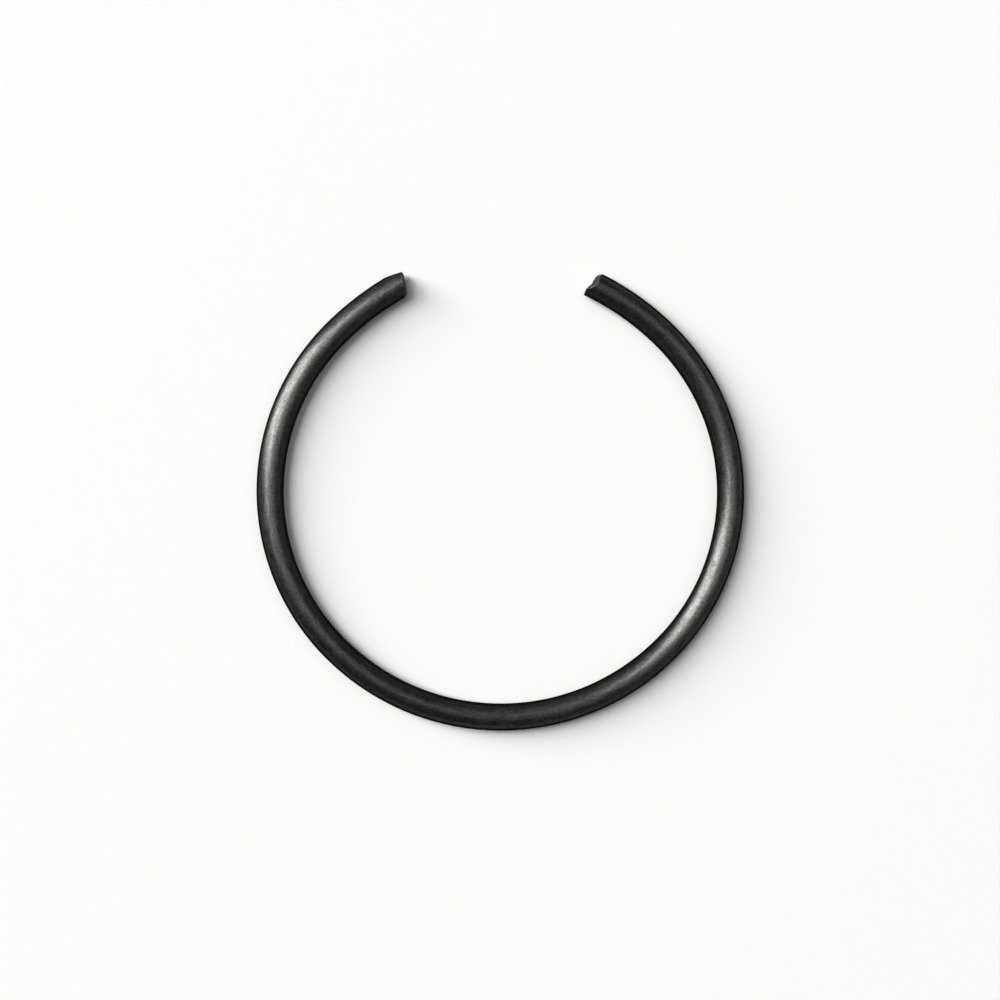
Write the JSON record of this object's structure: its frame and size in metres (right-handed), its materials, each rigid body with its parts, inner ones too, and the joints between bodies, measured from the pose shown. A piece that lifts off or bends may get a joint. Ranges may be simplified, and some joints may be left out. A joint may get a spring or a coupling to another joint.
{
  "type": "round wire snap ring",
  "caption": "Open retaining ring of round black spring wire, with a gap between its sheared ends; it springs into a groove and holds a part along a bore.",
  "frame": {"origin": "middle of the ring, midway between the bend centres of its two sides, on the middle plane of the wire", "axes": "+Z square to the ring's plane, along the axis of the groove; +Y towards the gap between the ends; the ring lies flat"},
  "size_m": [0.0448, 0.0422, 0.0024],
  "materials": {
    "spring_wire": "black phosphated and oiled spring steel wire, satin"
  },
  "bodies": {
    "root": {"snap_ring": "spring_wire"}
  },
  "joints": []
}
